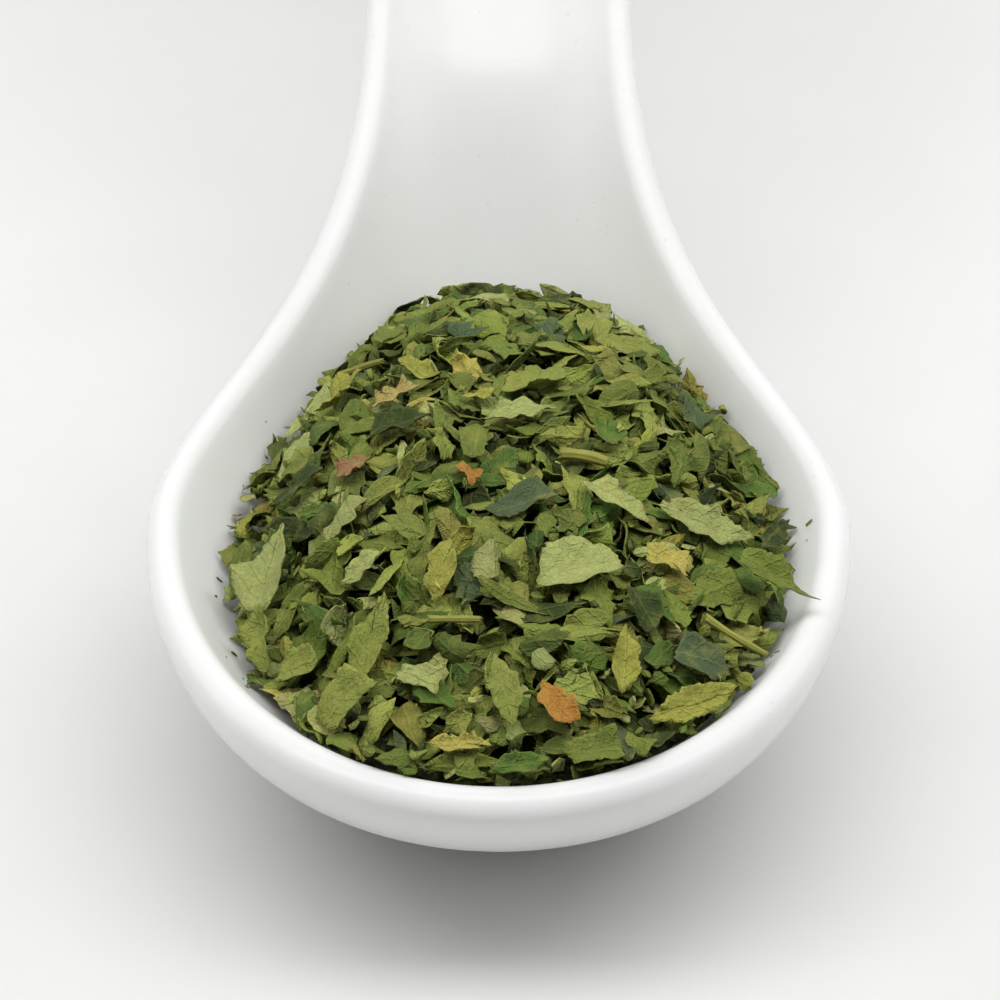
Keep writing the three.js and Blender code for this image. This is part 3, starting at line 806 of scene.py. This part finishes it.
def stem_finish():
    """Pale straw stalk with green left between its ribs."""
    finish = Finish("dried_stalk")
    place = finish.node("TexCoord", out="Object")
    own = finish.node("Attribute", {"attribute_name": "leaf_colour"}, out="Color")
    streak = finish.noise(place, 900.0, 3.0)
    dust = finish.noise(place, 3200.0, 2.0)
    tone = finish.node("VectorMath", {"operation": "SCALE"}, {0: own, "Scale": 0.6 + 0.75 * streak})
    relief = streak + 0.4 * dust
    bump = finish.node("Bump", None, {"Strength": 0.7, "Distance": 0.05 * MM, "Height": relief})
    return finish.done(Base_Color=tone, Roughness=0.6 + 0.25 * dust, Normal=bump)


def stem_rod(node, rng):
    """A ribbed rod where the solid stem bit lies, with a slow bend and uneven broken ends."""
    SEGMENTS = 16
    SIDES = 28
    RIB_DEPTH = 0.09
    BEND = 0.22
    FRAY = 0.16
    points, middle, axes = lying(node)
    flat = (points - middle) @ axes.T
    reach = np.abs(flat[:, 0]).max()
    radius = np.hypot(flat[:, 1], flat[:, 2]).max() * 0.8
    along = np.linspace(-reach, reach, SEGMENTS + 1)
    turn = np.linspace(0, 2 * math.pi, SIDES, endpoint=False)
    rib = 1 + RIB_DEPTH * np.cos(STEM_RIBS * turn)
    bow = rng.uniform(-BEND, BEND) * (1 - (along / reach) ** 2)
    taper = 1 - 0.22 * (along / reach + 1) / 2 + 0.08 * np.sin(along * 2.3)
    fray = rng.uniform(-FRAY, FRAY, SIDES)
    rows = []
    for place, push, share in zip(along, bow, taper):
        ends = (np.abs(place) / reach) ** 8 * fray
        rows.append(np.column_stack([
            place + ends,
            push + radius * share * rib * np.cos(turn),
            radius * share * rib * np.sin(turn),
        ]))
    caps = [(-reach * 0.97, bow[0], 0), (reach * 0.97, bow[-1], 0)]
    laid = middle + np.concatenate([*rows, caps]) @ axes
    faces = []
    last = SEGMENTS * SIDES
    for i in range(SIDES):
        k = (i + 1) % SIDES
        faces.append((last + SIDES, i, k))
        faces.append((last + SIDES + 1, last + k, last + i))
        faces += [
            (row * SIDES + i, (row + 1) * SIDES + i, (row + 1) * SIDES + k, row * SIDES + k)
            for row in range(SEGMENTS)
        ]
    return laid, faces


dried_stalk = stem_finish()
for number in range(1, STEM_BITS + 1):
    node = f"stem_bit_{number}"
    laid, faces = stem_rod(node, loose_rng)
    rod = new_piece("ribbed_" + node, laid, faces, dried_stalk, [node])
    tint = rod.data.attributes.new("leaf_colour", "FLOAT_COLOR", "POINT")
    tone = linear(COLOURS["yellow_green"]) * loose_rng.uniform(0.8, 1.2)
    tint.data.foreach_set("color", np.tile([*tone, 1], (len(laid), 1)).ravel())
    loose_points.append(laid)

# Heap flakes
# Dried parsley leaf, rubbed through a sieve: thin crisp fragments with torn edges, leaflet tips
# with their teeth, narrow pointed bits and curled scraps. They lie loose, each on those below.
HEAP_SEED = 417
GRID_STEP = 0.4
GRID_REACH = (23.0, 62.0)
GREENS = {
    "olive": 0.25,
    "mid_green": 0.26,
    "leaf_green": 0.15,
    "fresh_green": 0.08,
    "dark_green": 0.09,
    "pale": 0.09,
    "blue_green": 0.03,
    "yellow_green": 0.035,
    "straw": 0.012,
}
GROUPS = {
    "olive_flakes": ("olive",),
    "mid_green_flakes": ("mid_green",),
    "leaf_green_flakes": ("leaf_green", "fresh_green"),
    "mixed_flakes": ("pale", "yellow_green", "dark_green", "blue_green", "straw"),
}
LOWER_LAYERS = (
    ("torn", 460, (2.6, 5.2)),
    ("tip", 160, (2.6, 5.0)),
    ("lance", 160, (2.6, 5.8)),
    ("scrap", 420, (0.9, 2.2)),
)
UPPER_LAYER = (
    ("torn", 340, (2.6, 5.2)),
    ("tip", 150, (2.6, 5.0)),
    ("lance", 210, (2.6, 6.0)),
    ("scrap", 220, (0.8, 2.0)),
)
LAST_SCRAPS = (("torn", 40, (0.5, 1.4)),)
COARSE = (0.5, 1.0)
FINE = (0.2, 0.4, 0.58, 0.74, 0.88, 1.0)
LOOKS_BELOW = 20
LOOKS_ABOVE = 5
LOOKS_LAST = 1


def torn_outline(rng):
    """A fragment torn on all sides: a few corners, and ragged edges between them."""
    TEAR_STEP = 0.1
    TEAR_DEPTH = 0.032
    corners = rng.integers(4, 7)
    turn = (np.arange(corners) + rng.uniform(-0.32, 0.32, corners)) / corners * 2 * math.pi
    far = 0.5 * rng.uniform(0.62, 1.0, corners)
    slim = rng.uniform(0.45, 0.85)
    places = np.stack([far * np.cos(turn), far * np.sin(turn) * slim], -1)
    return torn_edge(places, rng, TEAR_STEP, TEAR_DEPTH)


def tip_outline(rng):
    """The toothed end of a leaflet, torn across at its base."""
    TOOTH = (1, 0.78, 0.72)
    BASE = -0.42
    LONG = 0.92
    teeth = rng.integers(2, 4)
    slim = rng.uniform(0.62, 0.95)
    steps = teeth * len(TOOTH) + 2
    side = []
    for i in range(steps):
        t = i / steps
        wide = (1 - t ** 1.8) * TOOTH[i % len(TOOTH)] * (1 + rng.uniform(-0.06, 0.06))
        side.append((BASE + LONG * t, 0.5 * slim * wide))
    right = [(u, -v) for u, v in side]
    base = [(BASE + rng.uniform(-0.06, 0.06), 0.5 * slim * s) for s in (0.5, 0.0, -0.5)]
    return np.array(right + [(0.5, rng.uniform(-0.04, 0.04))] + side[::-1] + base)


def lance_outline(rng):
    """A narrow lobe that is pointed at both ends."""
    STEPS = 11
    slim = rng.uniform(0.17, 0.42)
    t = np.arange(1, STEPS) / STEPS
    wide = 0.5 * slim * np.sin(math.pi * t ** rng.uniform(0.7, 1.3)) ** 0.8
    bow = rng.uniform(-0.12, 0.12) * np.sin(math.pi * t)
    left = np.stack([t - 0.5, bow + wide * (1 + rng.uniform(-0.12, 0.12, len(t)))], -1)
    right = np.stack([t - 0.5, bow - wide * (1 + rng.uniform(-0.12, 0.12, len(t)))], -1)
    return np.concatenate([[(-0.5, 0)], right, [(0.5, 0)], left[::-1]])


def scrap_outline(rng):
    """A small scrap or crumb."""
    CORNERS = 9
    turn = (np.arange(CORNERS) + rng.uniform(-0.3, 0.3, CORNERS)) / CORNERS * 2 * math.pi
    far = 0.5 * rng.uniform(0.6, 1.0, CORNERS)
    return np.stack([far * np.cos(turn), far * np.sin(turn) * rng.uniform(0.45, 0.9)], -1)


OUTLINES = {"torn": torn_outline, "tip": tip_outline, "lance": lance_outline, "scrap": scrap_outline}


def curled(plan, through, out, rng, curl, fold, ripple):
    """Bends a flat flake: rolled about an axis, folded at its rib, and rippled as it dried."""
    STRAIGHTEST = 1e-3
    UNEVEN = 0.7
    COARSE_RIPPLE = (1.6, 3.0)
    FINE_RIPPLE = (0.7, 1.2)
    FRILL_START = 0.6
    axis = rng.normal(0, 0.6)
    size = np.abs(plan).max() + 1e-6
    p = plan[:, 0] * math.cos(axis) + plan[:, 1] * math.sin(axis)
    q = plan[:, 1] * math.cos(axis) - plan[:, 0] * math.sin(axis)
    bend = curl * (1 + rng.uniform(-UNEVEN, UNEVEN) * p / size)
    bend = np.where(np.abs(bend) < STRAIGHTEST, STRAIGHTEST, bend)
    radius = 1 / bend
    across = (radius - through) * np.sin(q * bend)
    up = radius - (radius - through) * np.cos(q * bend)
    up += rng.uniform(-0.06, 0.06) * p ** 2
    up += fold * np.abs(plan[:, 1])
    up += waves(plan[:, 0], plan[:, 1], rng, rng.uniform(*COARSE_RIPPLE), ripple, 3)
    up += waves(plan[:, 0], plan[:, 1], rng, rng.uniform(*FINE_RIPPLE), 0.3 * ripple, 3)
    up += rolled(plan, rng, 4 * ripple)
    frill = rng.uniform(-0.5, 0.7)
    round_it = np.arctan2(plan[:, 1], plan[:, 0])
    up += frill * ripple * 4 * np.maximum(0, out - FRILL_START) ** 2 * np.sin(3 * round_it)
    return np.stack([
        p * math.cos(axis) - across * math.sin(axis),
        p * math.sin(axis) + across * math.cos(axis),
        up,
    ], -1)


def draw_flake(rng, kind, length, shares):
    """One flake of this kind: its curled shape, its faces and where each point is on the leaf."""
    CURL = 0.36
    ROLLED_SHARE = 0.28
    ROLL = (0.5, 1.2)
    FOLDED_SHARE = 0.35
    FOLD = 0.65
    RIPPLE = (0.07, 0.2)
    edge = OUTLINES[kind](rng) * length
    plan, through, out = flat_flake(edge, shares)
    side = rng.choice((-1, 1))
    curl = side * abs(rng.normal(0, CURL))
    curl += (rng.random() < ROLLED_SHARE) * side * rng.uniform(*ROLL)
    fold = (rng.random() < FOLDED_SHARE) * rng.uniform(-FOLD, FOLD)
    ripple = rng.uniform(*RIPPLE)
    if kind == "scrap":
        curl, fold, ripple = curl * 0.6, 0, 0.03
    shape = curled(plan, through, out, rng, curl, fold, ripple)
    shape[:, 2] -= shape[:, 2].mean()
    return shape, flake_faces(len(edge), len(shares)), plan, out


class Bed:
    """What lies in the bowl so far, as a height over each small square of it."""

    def __init__(self):
        LEAST_ROOM = 0.1
        self.x = np.arange(-GRID_REACH[0], GRID_REACH[0], GRID_STEP) + GRID_STEP / 2
        self.y = np.arange(0, GRID_REACH[1], GRID_STEP) + GRID_STEP / 2
        xs, ys = np.meshgrid(self.x, self.y, indexing="ij")
        self.wall = wall_height(xs, ys)
        self.top = np.maximum(self.wall, core_height(xs, ys))
        self.bare = np.ones_like(self.top, bool)
        self.goal = heap_height(xs, ys)
        self.roof = self.highest()
        self.cells = np.argwhere((self.wall < OUTSIDE) & (self.goal > self.wall + LEAST_ROOM))

    def highest(self):
        """How far up a flake may stick out. Past the heap's edge it can only lean on the wall."""
        PEAKS = 1.4
        OVERHANG = 0.9
        LEANING = 0.7
        highest = np.maximum(self.goal + PEAKS, self.wall + LEANING)
        return np.where(self.goal > self.wall - OVERHANG, highest, 0)

    def at(self, places):
        i = np.clip(((places[:, 0] - self.x[0]) / GRID_STEP).round().astype(int), 0, len(self.x) - 1)
        j = np.clip(((places[:, 1] - self.y[0]) / GRID_STEP).round().astype(int), 0, len(self.y) - 1)
        return i, j

    def keep_clear(self, laid):
        """Nothing that is laid from now on reaches up to this piece, until the roof is lifted."""
        GAP = 0.1
        cover = np.full_like(self.roof, OUTSIDE)
        np.minimum.at(cover, self.at(laid), laid[:, 2] - GAP)
        for axis in (0, 1):
            near = [np.roll(cover, step, axis) for step in (-1, 0, 1)]
            cover = np.minimum.reduce(near)
        self.roof = np.minimum(self.roof, cover)
        self.goal = np.minimum(self.goal, cover)

    def emptiest(self, rng, looks):
        """Of a few places drawn at random, the one where the most is missing, or which is bare."""
        BARE = 1.2
        CHANCE = 0.4
        i, j = self.cells[rng.integers(0, len(self.cells), looks)].T
        room = self.goal[i, j] - self.top[i, j] + BARE * self.bare[i, j]
        room = room + rng.uniform(0, CHANCE, looks)
        i, j = i[np.argmax(room)], j[np.argmax(room)]
        return np.array([self.x[i], self.y[j]]) + rng.uniform(-0.5, 0.5, 2) * GRID_STEP

    def slope(self, place, reach):
        """How the bed tilts round a place."""
        SIDES = 8
        turn = np.linspace(0, 2 * math.pi, SIDES, endpoint=False)
        ring = place + reach * np.stack([np.cos(turn), np.sin(turn)], -1)
        heights = np.minimum(self.top[self.at(ring)], self.top[self.at(place[None])] + reach)
        share = SIDES / 2
        return (heights @ np.cos(turn)) / share / reach, (heights @ np.sin(turn)) / share / reach

    def lay(self, shape, place, heading, tilt, settle):
        """Turns a flake to the bed's slope and lowers it until it rests, or None if it can't lie."""
        LEAST_REACH = 0.6
        WALL_GAP = 0.05
        reach = max(LEAST_REACH, np.abs(shape[:, :2]).max() * 0.8)
        dx, dy = self.slope(place, reach)
        slope = Vector((-dx, -dy, 1)).normalized()
        turn = slope.to_track_quat("Z", "Y").to_matrix() @ Matrix.Rotation(heading, 3, "Z")
        turn = turn @ Matrix.Rotation(tilt[0], 3, "X") @ Matrix.Rotation(tilt[1], 3, "Y")
        laid = shape @ np.array(turn).T
        laid[:, :2] += place
        i, j = self.at(laid)
        if self.wall[i, j].max() >= OUTSIDE:
            return None
        over_bed = np.quantile(self.top[i, j] - laid[:, 2], settle)
        over_wall = (self.wall[i, j] - laid[:, 2]).max() + WALL_GAP
        laid[:, 2] += max(over_bed, over_wall)
        return None if (laid[:, 2] > self.roof[i, j]).any() else laid

    def add(self, laid):
        np.maximum.at(self.top, self.at(laid), laid[:, 2])
        self.bare[self.at(laid)] = False


def scatter(bed, groups, rng, kinds, shares, looks):
    """Lays flakes of these kinds, in random order, and gathers them by their colour's group."""
    TRIES = 8
    LIGHTNESS = 0.16
    TINT = 0.04
    STEEP_SHARE = 0.22
    STEEP_TILT = 0.85
    TILT = 0.4
    SETTLE = 0.8
    names = list(GREENS)
    odds = np.array(list(GREENS.values()))
    order = np.concatenate([[k] * kind[1] for k, kind in enumerate(kinds)])
    rng.shuffle(order)
    for k in order:
        kind, _, lengths = kinds[k]
        rings = COARSE if kind == "scrap" else shares
        shape, faces, plan, out = draw_flake(rng, kind, rng.uniform(*lengths), rings)
        name = names[rng.choice(len(names), p=odds / odds.sum())]
        colour = linear(COLOURS[name]) * rng.normal(1, LIGHTNESS) * rng.normal(1, TINT, 3)
        group = next(group for group, members in GROUPS.items() if name in members)
        for _ in range(TRIES):
            steep = rng.random() < STEEP_SHARE
            tilt = rng.normal(0, STEEP_TILT if steep else TILT, 2)
            place = bed.emptiest(rng, looks)
            laid = bed.lay(shape, place, rng.uniform(0, 2 * math.pi), tilt, SETTLE)
            if laid is not None:
                bed.add(laid)
                groups[group].add(laid, faces, np.clip(colour, 0, 1), plan, out, rng.random())
                break


def crumbs(bed, rng):
    """Specks of leaf on the bare wall beside the heap."""
    COUNT = 18
    SMALLEST = 0.1
    LARGEST = 0.6
    BELOW = 2.2
    NEAREST_Y = 9
    FURTHEST_Y = 40
    LIFT = 0.02
    bare = (bed.wall < OUTSIDE) & (bed.goal < bed.wall) & (bed.goal > bed.wall - BELOW)
    cells = np.argwhere(bare & (bed.y > NEAREST_Y) & (bed.y < FURTHEST_Y))
    fallen = Flakes()
    for i, j in cells[rng.integers(0, len(cells), COUNT)]:
        outline = scrap_outline(rng) * SMALLEST * (LARGEST / SMALLEST) ** (rng.random() ** 2)
        plan, through, out = flat_flake(outline, COARSE)
        at = np.array([bed.x[i], bed.y[j]]) + rng.uniform(-0.5, 0.5, 2) * GRID_STEP
        spots = plan + at
        up = wall_height(*spots.T) + LIFT + through + LEAF_THICKNESS / 2
        laid = np.column_stack([spots, up])
        if laid[:, 2].max() < RIM_HEIGHT + 1:
            tone = linear(COLOURS[rng.choice(("dark_green", "mid_green", "olive"))])
            faces = flake_faces(len(outline), len(COARSE))
            fallen.add(laid, faces, tone, plan, out, rng.random())
    return fallen


rng = np.random.default_rng(HEAP_SEED)
bed = Bed()
for laid in loose_points:
    bed.keep_clear(laid)
groups = {name: Flakes() for name in GROUPS}
scatter(bed, groups, rng, LOWER_LAYERS, COARSE, LOOKS_BELOW)
scatter(bed, groups, rng, UPPER_LAYER, FINE, LOOKS_ABOVE)
bed.roof = bed.highest()
for laid in loose_points:
    bed.add(laid)
scatter(bed, groups, rng, LAST_SCRAPS, COARSE, LOOKS_LAST)
groups["fallen_crumbs"] = crumbs(bed, rng)
for name, flakes in groups.items():
    flakes.piece(name, dried_leaf, "green_leaf", ["flake_heap"])
